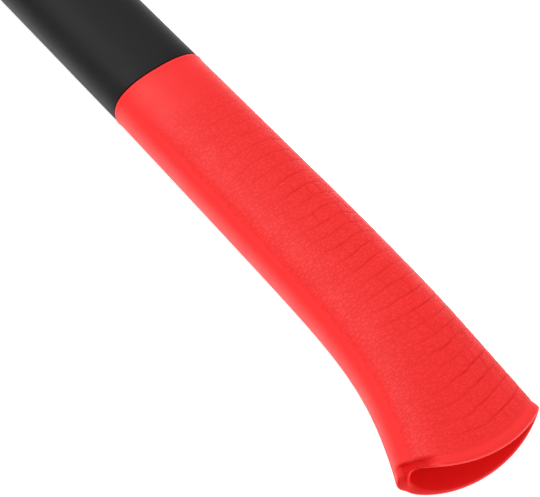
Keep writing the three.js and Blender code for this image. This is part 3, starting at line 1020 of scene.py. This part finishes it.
def make_floor(settings):
    """A floor under the lying axe, which touches the head's lower cheek and the handle near its end."""
    mesh = bmesh.new()
    bmesh.ops.create_grid(mesh, x_segments=1, y_segments=1, size=4.0)
    pivot = EYE_BOTTOM_X * MM
    rise = (JACKET_LOW[2] * MM) / (SHAFT_END_X * MM - pivot)
    for vertex in mesh.verts:
        vertex.co.z = (vertex.co.x - pivot) * rise
    floor = make_object("floor", mesh)
    floor.data.materials.append(plain_floor(settings))


def soft_light(name, spot, aim, size, power):
    """A square soft light at a spot, turned towards its aim, in metres."""
    data = bpy.data.lights.new(name, "AREA")
    data.shape = "SQUARE"
    data.size = size
    data.energy = power
    light = bpy.data.objects.new(name, data)
    light.location = spot
    light.rotation_euler = (Vector(aim) - Vector(spot)).to_track_quat("-Z", "Y").to_euler()
    bpy.context.scene.collection.objects.link(light)
    return light


def make_camera(settings):
    aim = Vector((
        (GRIP_TOP_X + AIM_ALONG_GRIP) * MM,
        -AIM_TOWARD_BELLY * MM,
        MID_Z * MM,
    ))
    back = Vector((
        math.sin(VIEW_AZIMUTH) * math.cos(VIEW_ELEVATION),
        -math.cos(VIEW_AZIMUTH) * math.cos(VIEW_ELEVATION),
        math.sin(VIEW_ELEVATION),
    ))
    data = bpy.data.cameras.new("camera")
    data.lens = settings.lens
    data.sensor_width = 36.0
    data.clip_start = 0.01
    data.clip_end = 50.0
    camera = bpy.data.objects.new("camera", data)
    camera.location = aim + back * VIEW_DISTANCE
    level = Euler((math.pi / 2 - VIEW_ELEVATION, 0.0, VIEW_AZIMUTH)).to_matrix()
    camera.rotation_euler = (level @ Matrix.Rotation(VIEW_ROLL, 3, "Z")).to_euler()
    bpy.context.scene.collection.objects.link(camera)
    bpy.context.scene.camera = camera
    return aim


def make_stage(settings):
    """The floor, the camera, an even sky and a large soft light."""
    scene = bpy.context.scene
    make_floor(settings)
    aim = make_camera(settings)
    scene.view_settings.view_transform = "Standard"
    scene.view_settings.look = "None"
    world = bpy.data.worlds.new("studio")
    world.use_nodes = True
    sky = world.node_tree.nodes["Background"]
    sky.inputs["Color"].default_value = (1.0, 1.0, 1.0, 1.0)
    sky.inputs["Strength"].default_value = settings.sky_strength
    scene.world = world
    soft_light("key", aim + Vector((-0.95, -0.15, 1.75)), aim, 1.1, settings.key_power)


# ---------------------------------------------------------------- operators

class FIREAXE_OT_head(bpy.types.Operator):
    """Makes the head and the pin that locks it"""
    bl_idname = "fireaxe.head"
    bl_label = "Make Head"

    def execute(self, context):
        make_head(context.scene.fireaxe_head)
        make_pin(context.scene.fireaxe_head)
        return {"FINISHED"}


class FIREAXE_OT_eye(bpy.types.Operator):
    """Makes the core, the resin and the gasket that fill the eye"""
    bl_idname = "fireaxe.eye"
    bl_label = "Make Eye Filling"

    def execute(self, context):
        make_core(context.scene.fireaxe_shaft)
        make_resin()
        make_gasket(context.scene.fireaxe_shaft)
        return {"FINISHED"}


class FIREAXE_OT_shaft(bpy.types.Operator):
    """Makes the jacket, its collar and the cap on its end"""
    bl_idname = "fireaxe.shaft"
    bl_label = "Make Shaft"

    def execute(self, context):
        make_jacket(context.scene.fireaxe_shaft)
        make_collar(context.scene.fireaxe_shaft)
        make_seal(context.scene.fireaxe_shaft)
        return {"FINISHED"}


class FIREAXE_OT_grip(bpy.types.Operator):
    """Makes the flared rubber grip"""
    bl_idname = "fireaxe.grip"
    bl_label = "Make Grip"

    def execute(self, context):
        make_grip(context.scene.fireaxe_grip)
        return {"FINISHED"}


class FIREAXE_OT_stage(bpy.types.Operator):
    """Makes the floor, the lights and the camera"""
    bl_idname = "fireaxe.stage"
    bl_label = "Make Stage"

    def execute(self, context):
        make_stage(context.scene.fireaxe_stage)
        return {"FINISHED"}


class FIREAXE_PT_panel(bpy.types.Panel):
    """Lists the pieces of the axe"""
    bl_idname = "FIREAXE_PT_panel"
    bl_label = "Fire Axe"
    bl_space_type = "VIEW_3D"
    bl_region_type = "UI"
    bl_category = "Fire Axe"

    def draw(self, context):
        for operator in OPERATORS:
            self.layout.operator(operator.bl_idname)


SETTINGS = {
    "fireaxe_grip": GripSettings,
    "fireaxe_shaft": ShaftSettings,
    "fireaxe_head": HeadSettings,
    "fireaxe_stage": StageSettings,
}
OPERATORS = (FIREAXE_OT_head, FIREAXE_OT_eye, FIREAXE_OT_shaft, FIREAXE_OT_grip, FIREAXE_OT_stage)


def register():
    for made in (*SETTINGS.values(), *OPERATORS, FIREAXE_PT_panel):
        bpy.utils.register_class(made)
    for name, group in SETTINGS.items():
        setattr(bpy.types.Scene, name, bpy.props.PointerProperty(type=group))


def unregister():
    for name in SETTINGS:
        delattr(bpy.types.Scene, name)
    for made in (FIREAXE_PT_panel, *OPERATORS, *SETTINGS.values()):
        bpy.utils.unregister_class(made)


def main():
    register()
    bpy.ops.fireaxe.head()
    bpy.ops.fireaxe.eye()
    bpy.ops.fireaxe.shaft()
    bpy.ops.fireaxe.grip()
    bpy.ops.fireaxe.stage()


if __name__ == "__main__":
    main()
